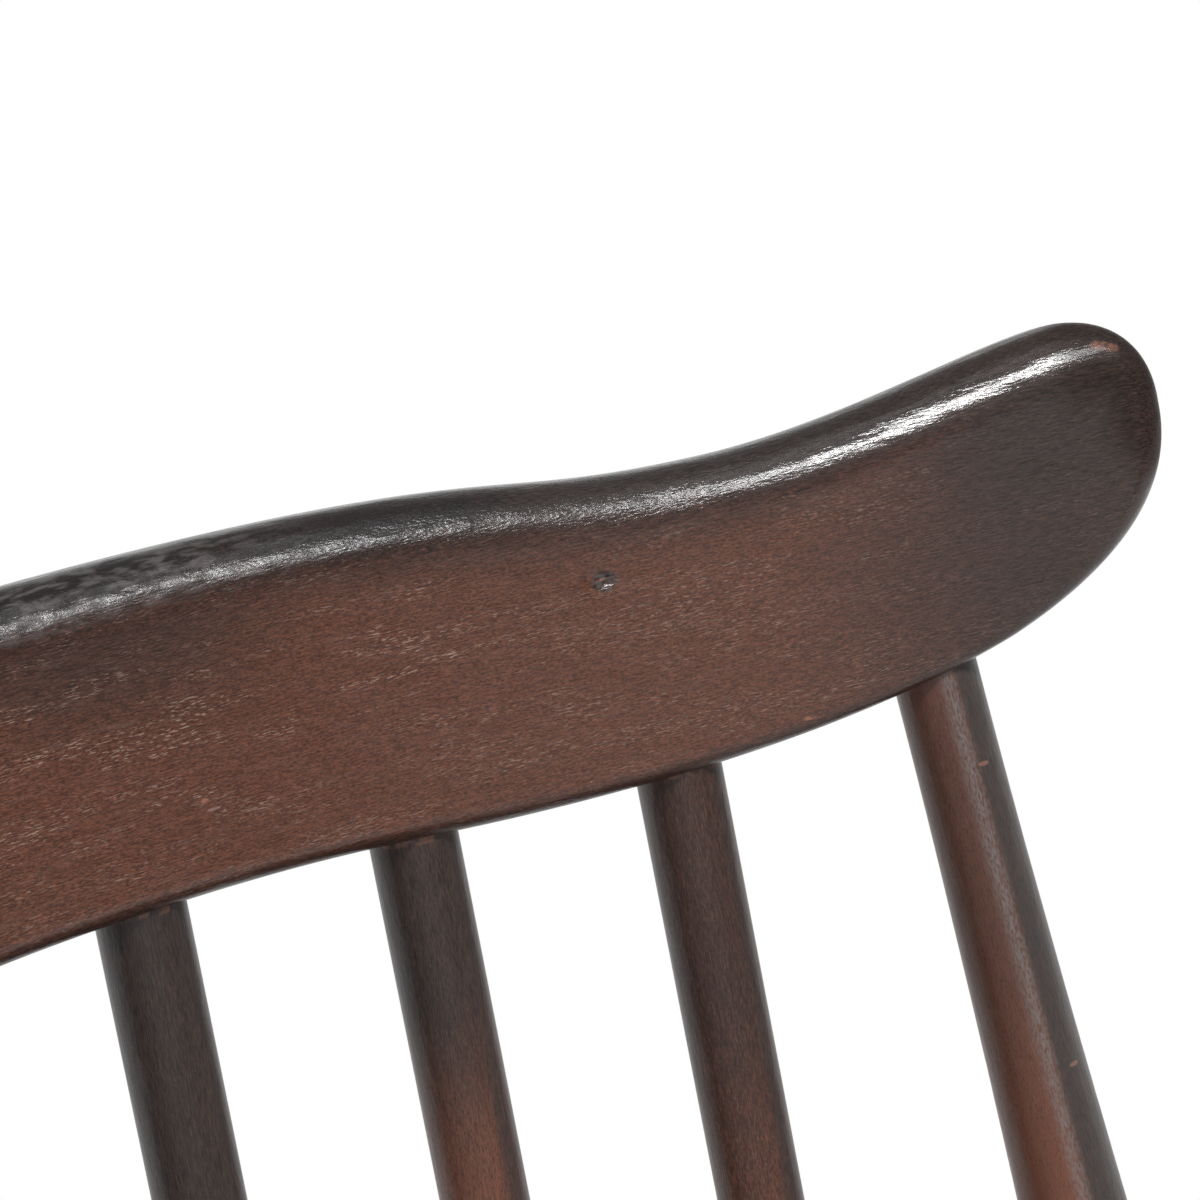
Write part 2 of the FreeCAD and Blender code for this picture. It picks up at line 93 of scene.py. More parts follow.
# Dents in the front of the rail: place along and up it, half length, half height and depth. The steepness
# is how sharp their rims are.
DENTS = (
    (0.0920, 0.0348, 0.0025, 0.0020, 0.0004),
    (0.0942, 0.0345, 0.0019, 0.0009, 0.0005),
    (0.0926, 0.0357, 0.0013, 0.0006, 0.0003),
    (0.1281, 0.0013, 0.0008, 0.0006, 0.0003),
)
DENT_STEEPNESS = 4

# Spots on the front of the rail: place along and up it, half length and half height. The scars show bare
# wood, the largest dent holds painted shade and a painted reflection, and the scratch holds a painted glint.
RAIL_SCARS = (
    (0.0929, 0.0350, 0.0019, 0.0003),
    (0.1281, 0.0013, 0.0017, 0.0005),
    (0.0110, 0.0163, 0.0010, 0.0005),
    (0.0124, 0.0145, 0.0016, 0.0003),
    (0.0839, 0.0003, 0.0003, 0.0002),
    (0.0855, -0.0012, 0.0003, 0.0002),
)
DENT_SHADE_AND_SHEEN = (0.0932, 0.0346, 0.0030, 0.0023)
SCRATCH_GLINT_SPOT = (0.0124, 0.0145, 0.0016, 0.00022)
SPOT_THROUGH = RAIL_THICKNESS / 4
SPOT_FADE = (0.6, 1.0)

# Worn spots on top of the right ear: their place through, up and along the rail, and their half sizes
EAR_WEAR = ((-0.0087, 0.0569, 0.1956), (-0.0087, 0.0564, 0.1971), (-0.0087, 0.0558, 0.1986))
EAR_WEAR_REACH = (0.0012, 0.0011, 0.0016)

# Chips in the finish of the right post: their places, half sizes and strength
POST_CHIPS = ((0.1559, 0.1858, 0.7246), (0.1625, 0.1650, 0.6680))
CHIP_REACH = (0.0015, 0.0015, 0.0005)
CHIP_STRENGTH = 0.6

# Colours, linear
BARE_LIGHT = (0.156, 0.056, 0.031, 1)
BARE_DARK = (0.050, 0.017, 0.010, 1)
# Toner, whose colours also paint shade on the rail and the sticks
TONER_AND_SHADE_LIGHT = (0.033, 0.022, 0.019, 1)
TONER_AND_SHADE_DARK = (0.003, 0.002, 0.002, 1)
# Pale glints painted in the pores
PORE_GLINT = (0.42, 0.30, 0.24, 1)
RAW_WOOD = (0.28, 0.12, 0.075, 1)
# Grey of painted reflections, sheen and glints
SHEEN_GREY = (0.17, 0.155, 0.152, 1)
PAPER = (0.8, 0.8, 0.8, 1)
WHITE = (1, 1, 1, 1)

# Textures: how often their features repeat across the fibres and along them, per metre, and their detail
SPECKLE = (3800, 1300, 2)
FIBRE = (3600, 420, 3)
PEEL = (2800, 950, 2)
PORE_GLINT_DASHES = (5200, 620, 1)
PORE_GLINT_GROUPS = (220, 40, 1)
STREAKS = (900, 150, 2)
WAVES = (260, 90, 2)
DRIFT = (45, 14, 2)
RUBBED = (1200, 1200, 2)
SHEEN_MOTTLE = (700, 260, 4)
RIM_PATCHES = (500, 500, 1)
SHEEN_PATCHES = (2600, 900, 3)

# The values that a texture mostly takes
NOISE_RANGE = (0.3, 0.7)

# Wood: how much speckle and fibres change its tone, how much drift and speckle change its toner, its
# shine, and the depth of its grooves
SPECKLE_TONES = (-0.25, 0.65)
FIBRE_TONES = (-0.22, 0.58)
DRIFT_TONER = (-0.07, 0.07)
SPECKLE_TONER = (0.1, -0.1)
WOOD_ROUGHNESS = 0.55
WOOD_IOR = 1.5
WOOD_SPECULAR = 0.12
GROOVE_DEPTH = 0.00006

# Pores, painted as pale glints: the texture values at which dashes and groups of them start showing, the
# share that shows through full toner and painted shade, and their strength. On the rail the painted glints
# are stronger around one place on its front, which is given through, up and along it.
PORE_GLINT_RISE = (0.625, 0.665)
PORE_GLINT_GROUP_RISE = (0.42, 0.58)
PORE_GLINTS_UNDER_DARKENING = 0.15
STICK_PORE_GLINTS = 0.12
SEAT_PORE_GLINTS = 0.2
RAIL_PORE_GLINTS = (0.3, 0.58)
PORE_GLINT_CENTRE = (RAIL_FRONT, 0.033, 0.01)
PORE_GLINT_REACH = (0.01, 0.022, 0.075)

# Lacquer: weight and roughness on the rail and seat, and on the sticks, and the depth of its ripples with
# the parts that pebbles, streaks and waves have in them
LACQUER_IOR = 1.45
RAIL_GLOSS = (1.0, 0.18)
STICK_GLOSS = (0.8, 0.36)
RIPPLE_DEPTH = 0.00002
PLAIN_PEEL = 3.5
STREAK_PART = 2.5
WAVE_PART = 15

# Toner on the rail, with painted shade along its underside and in its largest dent: where they fade from the
# top, the crest and the underside, where the toner rises towards the ears, and their strength, which on the
# ears grows with the height. The toner's reach around the crest is through, up and along the rail.
TOP_TONER_FADE = (0.003, 0.018)
CREST_TONER_REACH = (1, 0.038, 0.055)
CREST_TONER_FADE = (0.3, 1.0)
CREST_TONER = 0.7
UNDER_SHADE_FADE = (0.001, 0.004)
UNDER_SHADE = 0.6
EAR_TONER_RISE = (0.115, 0.18)
EAR_TONER_HEIGHTS = (0.025, 0.05)
EAR_TONER = (0.8, 0.95)
DENT_SHADE = 0.8

# Blacker toner in the middle of the rail's top: its fade down from the top and out from the middle
BLACK_DOWN_FADE = (0.006, 0.013)
BLACK_OUT_FADE = (0.05, 0.09)

# Wear of the rail and painted reflections on it: the texture values at which wear and the painted
# reflections on the top rise, the fades of those reflections, and the strengths of the painted reflections,
# of the painted glint in the scratch and of bare wood
RUBBED_RISE = (0.4, 0.6)
SHEEN_MOTTLE_RISE = (0.42, 0.68)
TOP_SHEEN_DOWN_FADE = (0.005, 0.01)
TOP_SHEEN_OUT_FADE = (0.01, 0.05)
TOP_SHEEN = 0.38
DENT_SHEEN = 0.25
SCRATCH_GLINT = 0.5
EAR_WEAR_STRENGTH = 0.55
SCAR_STRENGTHS = (0.3, 0.8)

# Lacquer of the rail: how pebbly it is between two distances from the middle, how much smoother it has
# flowed in the middle, and where little of it is left on the right ear
PEBBLE_PLACES = (0.105, 0.14)
PEBBLES = (4.5, 2.2)
FLOWED_FADE = (0.035, 0.07)
FLOWED = 2.3
WORN_RISE = (0.1835, 0.193)
WORN_DOWN_FADE = (0.01, 0.018)
WORN_LACQUER = 0.2

# Seat: toner from its edge inwards, in shares of its half sizes, with a depth in its own thicknesses
SEAT_TONER_RISE = (0.6, 1.0)
SEAT_TONER_DEPTH = 1.5
SEAT_TONER = 0.8

# Sticks: the outer front side with their flank of painted shade, the width over which that starts, the bare
# rim under the rail, the line of painted sheen beside the flank, and the painted sheen over the flank
OUTER_SIDE = (0.82, -0.57)
FLANK_BLEND = 0.003
RIM_FADE = (CREST_TENON_REACH + 0.0003, CREST_TENON_REACH + 0.001)
RIM_PATCH_RISE = (0.45, 0.6)
SHEEN_LINE_INSET = 0.0006
SHEEN_LINE_FADE = (0.0, 0.0026)
SHEEN_PATCH_RISE = (0.25, 0.7)
FLANK_SHEEN = 0.2

# A stick this little to the left of the middle still counts as one on the right
MIDDLE_SLACK = 1e-6

# Vertices that agree in this many decimals are one point
POINT_DECIMALS = 5


class StickLook(NamedTuple):
    """Finish of a long piece: where its toner fades from both ends, painted shade under the rail included,
    and how strong it is, how pale the bare wood is, the strength of the painted shade on the flank and how
    far from the axis it starts, the strength of the wear at the rail and of the painted sheen, and the
    places of chips."""
    top_fade: tuple = (0.03, 0.09)
    foot_fade: tuple = (0.02, 0.08)
    toner: float = 0.85
    lift: float = 0.0
    flank_shade: float = 0.0
    flank_start: float = 0.003
    joint_wear: float = 0.0
    painted_sheen_strength: float = 0.0
    chips: tuple = ()


PLAIN_STICK = StickLook()
ROD = StickLook(foot_fade=(0.04, 0.11), flank_shade=0.8, joint_wear=0.35)
POST = StickLook(foot_fade=(0.04, 0.11), flank_shade=0.95, flank_start=0.0012, painted_sheen_strength=0.75)
STICK_LOOKS = {
    "back_rod_1": ROD._replace(top_fade=(0.065, 0.11), toner=0.90, lift=0.2),
    "back_rod_2": ROD._replace(top_fade=(0.075, 0.12), toner=0.85, lift=0.1),
    "back_rod_3": ROD._replace(top_fade=(0.090, 0.14), toner=0.93, lift=0.0),
    "back_rod_4": ROD._replace(top_fade=(0.055, 0.10), toner=0.88, lift=0.35),
    "back_rod_5": ROD._replace(top_fade=(0.070, 0.12), toner=0.62, lift=-0.15),
    "back_post_left": POST._replace(top_fade=(0.065, 0.13), toner=0.45, lift=0.5),
    "back_post_right": POST._replace(top_fade=(0.075, 0.14), toner=0.48, lift=0.7, chips=POST_CHIPS),
}

# Camera: place from the middle of the rail's underside, heading to the right of +Y, downward pitch, roll,
# and focal length and sensor in millimetres
CAMERA_OFFSET = Vector((-0.22929, -0.46665, 0.28214))
CAMERA_HEADING = math.radians(34.855)
CAMERA_PITCH = math.radians(23.86)
CAMERA_ROLL = math.radians(-0.84)
CAMERA_LENS = 103.97
CAMERA_SENSOR = 36
CAMERA_CLIP_START = 0.01

# Soft boxes: offset from the middle of the rail's underside, direction of the length, length, width, watts
SOFT_BOXES = {
    "overhead": ((0.065, -0.74, 1.85), (0.90, -0.43, -0.18), 0.47, 0.2, 28),
    "overhead_middle": ((0.48, -0.86, 1.74), (0.93, -0.18, -0.31), 0.52, 0.2, 14.5),
    "overhead_right": ((0.72, -1.06, 1.54), (0.71, -0.45, -0.55), 0.5, 0.22, 1.5),
    "above": ((0.5, 0.2, 1.86), (0.83, -0.5, -0.19), 0.9, 0.25, 1.5),
    "front_left": ((-0.9, -1.9, 0.7), (1, 0, 0), 1.4, 1.4, 8),
    "front": ((0.25, -2.2, 0.25), (1, 0, 0), 0.8, 0.8, 1.4),
}

# Studio: the floor, which turns white away from the chair, the side of the white backdrop, the strength of
# the room and of the backdrop in gloss, and the strength of the plain light all round
FLOOR_RADIUS = 8
FLOOR_SEGMENTS = 96
FLOOR_WHITE_RISE = (0.6, 1.15)
BACKDROP_SIDE = (0.52, 0.75, -0.40)
BACKDROP_RISE = (0.7, 0.95)
ROOM_GLOSS = 0.25
BACKDROP_GLOSS = 1.0
AMBIENT = 0.25


# Nodes

class Nodes:
    """Nodes of a material or world, written in short calls that give back output sockets."""

    def __init__(self, owner):
        owner.use_nodes = True
        self.owner = owner
        self.tree = owner.node_tree
        self.tree.nodes.clear()

    def add(self, kind, inputs, **settings):
        node = self.tree.nodes.new("ShaderNode" + kind)
        for key, value in settings.items():
            setattr(node, key, value)
        for key, value in inputs.items():
            self.put(node.inputs[key], value)
        return node

    def put(self, socket, value):
        if isinstance(value, bpy.types.NodeSocket):
            self.tree.links.new(value, socket)
        else:
            socket.default_value = value

    def math(self, operation, first, second=0.0):
        return self.add("Math", {0: first, 1: second}, operation=operation).outputs[0]

    def joined(self, operation, values):
        """Several values brought together by one operation."""
        result = values[0]
        for value in values[1:]:
            result = self.math(operation, result, value)
        return result

    def plus(self, *values):
        return self.joined("ADD", values)

    def times(self, *values):
        return self.joined("MULTIPLY", values)

    def most(self, *values):
        """The largest of some values."""
        return self.joined("MAXIMUM", values)

    def minus(self, first, second):
        return self.math("SUBTRACT", first, second)

    def ramp(self, value, places, results, interpolation="LINEAR"):
        """The first result up to the first place, the second from the second one on, a slope between."""
        inputs = {
            "Value": value,
            "From Min": places[0],
            "From Max": places[1],
            "To Min": results[0],
            "To Max": results[1],
        }
        return self.add("MapRange", inputs, interpolation_type=interpolation).outputs[0]

    def blend(self, share, results):
        """From the first result to the second, by a share from 0 to 1."""
        return self.ramp(share, (0, 1), results)

    def rise(self, value, places, strength=1.0):
        """0 up to the first place, full strength from the second one on, and a soft step between."""
        return self.ramp(value, places, (0.0, strength), "SMOOTHSTEP")

    def fade(self, value, places, strength=1.0):
        """Full strength up to the first place, 0 from the second one on, and a soft step between."""
        return self.ramp(value, places, (strength, 0.0), "SMOOTHSTEP")

    def spread(self, value, results):
        """A texture's value brought from its usual range to the range given."""
        return self.ramp(value, NOISE_RANGE, results)

    def noise(self, vector, texture):
        across, along, detail = texture
        scaled = self.vector_math("MULTIPLY", vector, (across, across, along)).outputs[0]
        return self.add("TexNoise", {"Vector": scaled, "Scale": 1.0, "Detail": detail}).outputs["Fac"]

    def mix(self, factor, first, second):
        node = self.add("Mix", {0: factor, 6: first, 7: second}, data_type="RGBA")
        return node.outputs[2]

    def bump(self, height, depth):
        return self.add("Bump", {"Height": height, "Strength": 1.0, "Distance": depth}).outputs[0]

    def attribute(self, name):
        return self.add("Attribute", {}, attribute_name=name).outputs["Fac"]

    def object_place(self):
        return self.add("TexCoord", {}).outputs["Object"]

    def vector(self, x, y, z):
        return self.add("CombineXYZ", {0: x, 1: y, 2: z}).outputs[0]

    def parts(self, vector):
        return self.add("SeparateXYZ", {0: vector}).outputs

    def vector_math(self, operation, *vectors):
        return self.add("VectorMath", dict(enumerate(vectors)), operation=operation)

    def dot(self, first, second):
        return self.vector_math("DOT_PRODUCT", first, second).outputs["Value"]

    def length(self, vector):
        return self.vector_math("LENGTH", vector).outputs["Value"]

    def reach(self, vector, centre, radii):
        """Distance from a centre, counted in the radii given."""
        offset = self.vector_math("SUBTRACT", vector, centre).outputs[0]
        return self.length(self.vector_math("DIVIDE", offset, radii).outputs[0])

    def spot(self, vector, centre, radii):
        """1 inside a small ellipsoid, with a soft rim."""
        return self.fade(self.reach(vector, centre, radii), SPOT_FADE)


# Finished wood

def stained_wood(nodes, grain, fibre, toner, lift, black):
    """Colour of the wood under its toner and painted shade, and how much they cover."""
    speckle = nodes.noise(grain, SPECKLE)
    tone = nodes.plus(nodes.spread(speckle, SPECKLE_TONES), nodes.spread(fibre, FIBRE_TONES), lift)
    bare = nodes.mix(tone, BARE_DARK, BARE_LIGHT)
    drift = nodes.spread(nodes.noise(grain, DRIFT), DRIFT_TONER)
    uneven = nodes.plus(toner, drift, nodes.spread(speckle, SPECKLE_TONER))
    cover = nodes.add("Clamp", {0: uneven}).outputs[0]
    toned = nodes.mix(nodes.minus(nodes.spread(fibre, (0, 1)), black), TONER_AND_SHADE_DARK, TONER_AND_SHADE_LIGHT)
    return nodes.mix(cover, bare, toned), cover


def pore_glints(nodes, grain, cover, strength):
    """Pale glints painted in the pores, in groups of short dashes, which toner and painted shade hide."""
    dashes = nodes.rise(nodes.noise(grain, PORE_GLINT_DASHES), PORE_GLINT_RISE)
    groups = nodes.rise(nodes.noise(grain, PORE_GLINT_GROUPS), PORE_GLINT_GROUP_RISE)
    shown = nodes.blend(cover, (1.0, PORE_GLINTS_UNDER_DARKENING))
    return nodes.times(dashes, groups, strength, shown)


def lacquer_ripples(nodes, grain, fibre, peel):
    """Normal of the lacquer, which is pebbly, streaked along the fibres and slightly wavy."""
    pebbles = nodes.times(nodes.noise(grain, PEEL), peel)
    streaks = nodes.times(nodes.noise(grain, STREAKS), STREAK_PART)
    waves = nodes.times(nodes.noise(grain, WAVES), WAVE_PART)
    return nodes.bump(nodes.plus(fibre, pebbles, streaks, waves), RIPPLE_DEPTH)


def finished_wood(nodes, grain, toner, raw, glints, gloss, painted_sheen=0.0, lift=0.0, peel=PLAIN_PEEL, black=0.0):
    """Stained wood under lacquer. Grain is a vector in metres whose Z runs along the fibres. Darkening
    (toner, with painted shade on the rail and sticks), raw wood, pale pore glints and painted sheen are
    strengths, gloss is the lacquer's weight and roughness, lift makes the bare wood paler, peel is how
    pebbly the lacquer is, and black darkens the toner."""
    fibre = nodes.noise(grain, FIBRE)
    stained, cover = stained_wood(nodes, grain, fibre, toner, lift, black)
    # Pale glints painted in the pores
    glinted = nodes.mix(pore_glints(nodes, grain, cover, glints), stained, PORE_GLINT)
    # Painted sheen in grey over the wood and its bare spots
    colour = nodes.mix(painted_sheen, nodes.mix(raw, glinted, RAW_WOOD), SHEEN_GREY)
    weight, roughness = gloss
    shader = nodes.add("BsdfPrincipled", {
        "Base Color": colour,
        "Roughness": WOOD_ROUGHNESS,
        "IOR": WOOD_IOR,
        "Specular IOR Level": WOOD_SPECULAR,
        "Normal": nodes.bump(fibre, GROOVE_DEPTH),
        "Coat Weight": weight,
        "Coat Roughness": roughness,
        "Coat IOR": LACQUER_IOR,
        "Coat Normal": lacquer_ripples(nodes, grain, fibre, peel),
    })
    nodes.add("OutputMaterial", {0: shader.outputs[0]})
    return nodes.owner


# Places and directions

def turned(*axes):
    """Rotation to the X, Y and Z axes given."""
    return Matrix(axes).transposed().to_4x4()


def vertices_of(node):
    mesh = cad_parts[node].data
    values = np.zeros(len(mesh.vertices) * 3, np.float32)
    mesh.vertices.foreach_get("co", values)
    return values.reshape(-1, 3).astype(float)


def axis_of(node):
    """Low and high ends of a long piece's axis, from the longest spread of its vertices."""
    points = np.unique(np.round(vertices_of(node), POINT_DECIMALS), axis=0)
    middle = points.mean(0)
    direction = np.linalg.svd(points - middle, full_matrices=False)[2][0]
    if direction[2] < 0:
        direction = -direction
    reach = (points - middle) @ direction
    return Vector(middle + direction * reach.min()), Vector(middle + direction * reach.max())


# Sticks and seat, which the solids already shape well

def dress(node, material):
    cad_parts[node].material_slots[0].material = material


def stick_places(nodes, node, seed):
    """Places on a long piece: in the chair, along its grain, from both ends, and towards its outer side."""
    foot, top = axis_of(node)
    turn = (top - foot).to_track_quat("Z", "Y")
    place = nodes.object_place()
    inputs = {"Vector": place, "Location": foot, "Rotation": turn.to_euler()}
    own = nodes.add("Mapping", inputs, vector_type="TEXTURE").outputs[0]
    from_foot = nodes.parts(own)[2]
    outwards, forwards = OUTER_SIDE
    outer = Vector((math.copysign(outwards, foot.x + MIDDLE_SLACK), forwards, 0))
    outer.rotate(turn.inverted())
    outer.z = 0
    return SimpleNamespace(
        place=place,
        grain=nodes.vector_math("ADD", own, (seed, seed, seed)).outputs[0],
        from_foot=from_foot,
        from_top=nodes.minus((top - foot).length, from_foot),
        aside=nodes.dot(own, outer),
    )


def stick_raw_wood(nodes, stick, look):
    """Bare wood on a long piece: rubbed patches round its rim under the rail, and its chips."""
    rim = nodes.fade(stick.from_top, RIM_FADE)
    patches = nodes.rise(nodes.noise(stick.grain, RIM_PATCHES), RIM_PATCH_RISE)
    raw = nodes.times(rim, patches, look.joint_wear)
    for chip in look.chips:
        raw = nodes.most(raw, nodes.times(nodes.spot(stick.place, chip, CHIP_REACH), CHIP_STRENGTH))
    return raw


def stick_painted_sheen(nodes, stick, look, painted_flank_shade):
    """Painted sheen on a long piece: a patchy line of painted reflection where its flank of painted shade
    starts, and a faint painted sheen over the flank.
    """
    off_line = nodes.minus(stick.aside, look.flank_start + SHEEN_LINE_INSET)
    near_line = nodes.fade(nodes.math("ABSOLUTE", off_line), SHEEN_LINE_FADE)
    patches = nodes.rise(nodes.noise(stick.grain, SHEEN_PATCHES), SHEEN_PATCH_RISE)
    hazy_sheen = nodes.times(painted_flank_shade, FLANK_SHEEN)
    return nodes.times(nodes.most(nodes.times(near_line, patches), hazy_sheen), look.painted_sheen_strength)


def stick_finish(node, seed, look):
    """Finish of a long piece: toner at both ends, painted shade under the rail and on its outer flank, and
    wear and painted sheen as its look says.
    """
    nodes = Nodes(bpy.data.materials.new(node + "_finish"))
    stick = stick_places(nodes, node, seed)
    # Toner at the top, with painted shade under the rail
    at_top = nodes.fade(stick.from_top, look.top_fade)
    at_foot = nodes.fade(stick.from_foot, look.foot_fade)
    at_ends = nodes.times(nodes.most(at_top, at_foot), look.toner)
    # Painted shade on the outer front flank
    painted_flank_shade = nodes.rise(stick.aside, (look.flank_start, look.flank_start + FLANK_BLEND), look.flank_shade)
    toner = nodes.most(at_ends, painted_flank_shade)
    raw = stick_raw_wood(nodes, stick, look)
    # Painted sheen beside and over the flank
    painted_sheen = stick_painted_sheen(nodes, stick, look, painted_flank_shade)
    dress(node, finished_wood(nodes, stick.grain, toner, raw, STICK_PORE_GLINTS, STICK_GLOSS, painted_sheen, look.lift))


def seat_finish():
    """Finish of the seat: brown where it is sat on, dark round its edge, grain from front to back."""
    low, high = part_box("seat")
    size = high - low
    middle = (low + high) / 2
    middle.z = high.z
    nodes = Nodes(bpy.data.materials.new("seat_finish"))
    place = nodes.object_place()
    reach = nodes.reach(place, middle, (size.x / 2, size.y / 2, size.z * SEAT_TONER_DEPTH))
    toner = nodes.rise(reach, SEAT_TONER_RISE, SEAT_TONER)
    parts = nodes.parts(place)
    grain = nodes.vector(parts[0], parts[2], parts[1])
    dress("seat", finished_wood(nodes, grain, toner, 0.0, SEAT_PORE_GLINTS, RAIL_GLOSS))


# Shape of the crest rail

def stretch(start, start_reach, end, end_reach):
    """Points of a cubic curve between two turning points of the outline."""
    poles = np.array([start, np.add(start, start_reach), np.add(end, end_reach), end])
    t = np.linspace(0, 1, CURVE_POINTS)[:, None]
    return (poles[0] * (1 - t) ** 3 + 3 * poles[1] * t * (1 - t) ** 2
            + 3 * poles[2] * t ** 2 * (1 - t) + poles[3] * t ** 3)


def evenly(points, count):
    """The same line with its points spaced evenly."""
    steps = np.linalg.norm(np.diff(points, axis=0), axis=1)
    walked = np.concatenate([[0], np.cumsum(steps)])
    places = np.linspace(0, walked[-1], count)
    return np.stack([np.interp(places, walked, values) for values in points.T], axis=1)


def mirrored(half):
    """A line from the left tip to the right tip, from its right half."""
    return np.concatenate([(half * (-1, 1, 1))[::-1], half[1:]])


def rail_outline():
    """Upper and lower outline of the rail from the left tip to the right one: x, height and rounding."""
    crest = (0, CREST_HEIGHT)
    dip = (DIP_OFFSET, DIP_HEIGHT)
    ear = (EAR_OFFSET, EAR_HEIGHT)
    tip = (RAIL_HALF_LENGTH, TIP_HEIGHT)
    sag = (SAG_OFFSET, -SAG_DEPTH)
    upper = np.concatenate([
        stretch(crest, (CREST_REACH, 0), dip, (-DIP_REACH_IN, 0)),
        stretch(dip, (DIP_REACH_OUT, 0), ear, (-EAR_REACH_IN, 0))[1:],
        stretch(ear, (EAR_REACH_OUT, 0), tip, (0, TIP_REACH_UP))[1:],
    ])
    lower = np.concatenate([
        stretch((0, 0), (MIDDLE_REACH, 0), sag, (-SAG_REACH_IN, 0)),
        stretch(sag, (SAG_REACH_OUT, 0), tip, (0, -TIP_REACH_DOWN))[1:],
    ])
    share = np.concatenate([np.zeros(CURVE_POINTS), np.linspace(0, 1, CURVE_POINTS)[1:]])
    rounding = np.interp(share, (1 - HEEL_SHARE, 1), (RAIL_BOTTOM_ROUND, RAIL_TOP_ROUND))
    upper = np.column_stack([upper, np.full(len(upper), RAIL_TOP_ROUND)])
    lower = np.column_stack([lower, rounding])
    return evenly(mirrored(upper), RAIL_COLUMNS), evenly(mirrored(lower), RAIL_COLUMNS)


def inward(line, other):
    """Unit normals of one outline, pointing towards the other. Both outlines are upright at the tips."""
    along = np.gradient(line[:, :2], axis=0)
    along[[0, -1], 0] = 0
    along /= np.linalg.norm(along, axis=1)[:, None]
    normal = np.stack([-along[:, 1], along[:, 0]], axis=1)
    middle = len(line) // 2
    return normal * np.sign((other - line)[middle, :2] @ normal[middle])


def rail_sheet(upper, lower, rows):
    """Grid of one face with the rounds at both edges: columns by rows of x, height and depth."""
    angles = np.linspace(0, math.pi / 2, ROUND_STEPS + 1)
    edges = []
    for line, other in ((lower, upper), (upper, lower)):
        radius = line[:, 2:]
        inset = radius * (1 - np.cos(angles))
        places = line[:, None, :2] + inward(line, other)[:, None, :] * inset[:, :, None]
        edges.append((places, radius * (1 - np.sin(angles))))
    (low, low_depth), (high, high_depth) = edges
    share = np.linspace(0, 1, rows + 1)[1:-1, None]
    face = low[:, -1:, :] * (1 - share) + high[:, -1:, :] * share
    places = np.concatenate([low, face, high[:, ::-1]], axis=1)
    depth = np.concatenate([low_depth, np.zeros(face.shape[:2]), high_depth[:, ::-1]], axis=1)
    return np.dstack([places, depth])


def rail_wall(front, back, row):
    """Grid across the thickness along one edge, between the two faces."""
    share = np.linspace(0, 1, WALL_STEPS + 1)[None, :, None]
    return front[:, row, None, :] * (1 - share) + back[:, row, None, :] * share


def bend(x, height, depth):
    """Point of the bent rail, in its own frame."""
    reach = RAIL_RADIUS + RAIL_FRONT + depth
    return Vector((x, math.sqrt(reach ** 2 - x ** 2) - RAIL_RADIUS, height))


def add_grid(bm, grid):
    corners = [[bm.verts.new(bend(*point)) for point in column] for column in grid]
    for left, right in zip(corners, corners[1:]):
        for row in range(len(left) - 1):
            bm.faces.new((left[row], right[row], right[row + 1], left[row + 1]))


def rail_mesh(upper, lower):
    """Closed mesh of the bent rail between its outlines, in its own frame."""
    front = rail_sheet(upper, lower, FRONT_ROWS)
    back = rail_sheet(upper, lower, BACK_ROWS)
    back[:, :, 2] = RAIL_THICKNESS - back[:, :, 2]
    bm = bmesh.new()
    for grid in (front, back, rail_wall(front, back, 0), rail_wall(front, back, -1)):
        add_grid(bm, grid)
    bmesh.ops.remove_doubles(bm, verts=bm.verts, dist=WELD)
    bmesh.ops.dissolve_degenerate(bm, edges=bm.edges, dist=WELD)
    bmesh.ops.recalc_face_normals(bm, faces=bm.faces)
    mesh = bpy.data.meshes.new("bent_crest_rail")
    bm.to_mesh(mesh)
    bm.free()
    return mesh


def nearest_distance(points, line):
    """Distance of each point to a line, both in the front view."""
    tree = KDTree(len(line))
    for index, (x, height) in enumerate(line[:, :2]):
        tree.insert((x, height, 0), index)
    tree.balance()
    return [tree.find((x, height, 0))[2] for x, height in points]


def dent_depth(along, up, front):
    """How far the dents go into the rail's front at each point."""
    depth = np.zeros(len(along))
    for place, height, half_length, half_height, deepest in DENTS:
        reach = np.hypot((along - place) / half_length, (up - height) / half_height)
        depth += deepest * np.exp(-reach ** DENT_STEEPNESS)
    return np.where(front, depth, 0)


def store(mesh, name, values):
    mesh.attributes.new(name, "FLOAT", "POINT").data.foreach_set("value", np.array(values, np.float32))


def make_rail(placement):
    """The bent rail with its dents. Each point keeps its place on the plain rail for the finish."""
    upper, lower = rail_outline()
    mesh = rail_mesh(upper, lower)
    points = np.array([vertex.co for vertex in mesh.vertices])
    normals = np.array([vertex.normal for vertex in mesh.vertices])
    along = RAIL_RADIUS * np.arctan2(points[:, 0], points[:, 1] + RAIL_RADIUS)
    depth = np.hypot(points[:, 0], points[:, 1] + RAIL_RADIUS) - RAIL_RADIUS
    store(mesh, "along", along)
    store(mesh, "up", points[:, 2])
    store(mesh, "depth", depth)
    store(mesh, "from_top", nearest_distance(points[:, (0, 2)], upper))
    store(mesh, "from_under", nearest_distance(points[:, (0, 2)], lower))
    points -= normals * dent_depth(along, points[:, 2], depth < 0)[:, None]
    mesh.vertices.foreach_set("co", points.astype(np.float32).ravel())
    mesh.transform(placement)
    mesh.shade_smooth()
    rail = bpy.data.objects.new("bent_crest_rail", mesh)
    bpy.context.scene.collection.objects.link(rail)
    return rail


def rail_placement():
    """Where the rail sits: over the shoulder of the middle rod, leaning back with it."""
    foot, top = axis_of("back_rod_3")
    lean = top - foot
    lean.x = 0
    lean.normalize()
    middle = top - lean * CREST_TENON_REACH
    middle.x = 0
    across = Vector((1, 0, 0))
    return Matrix.Translation(middle) @ turned(across, lean.cross(across), lean)


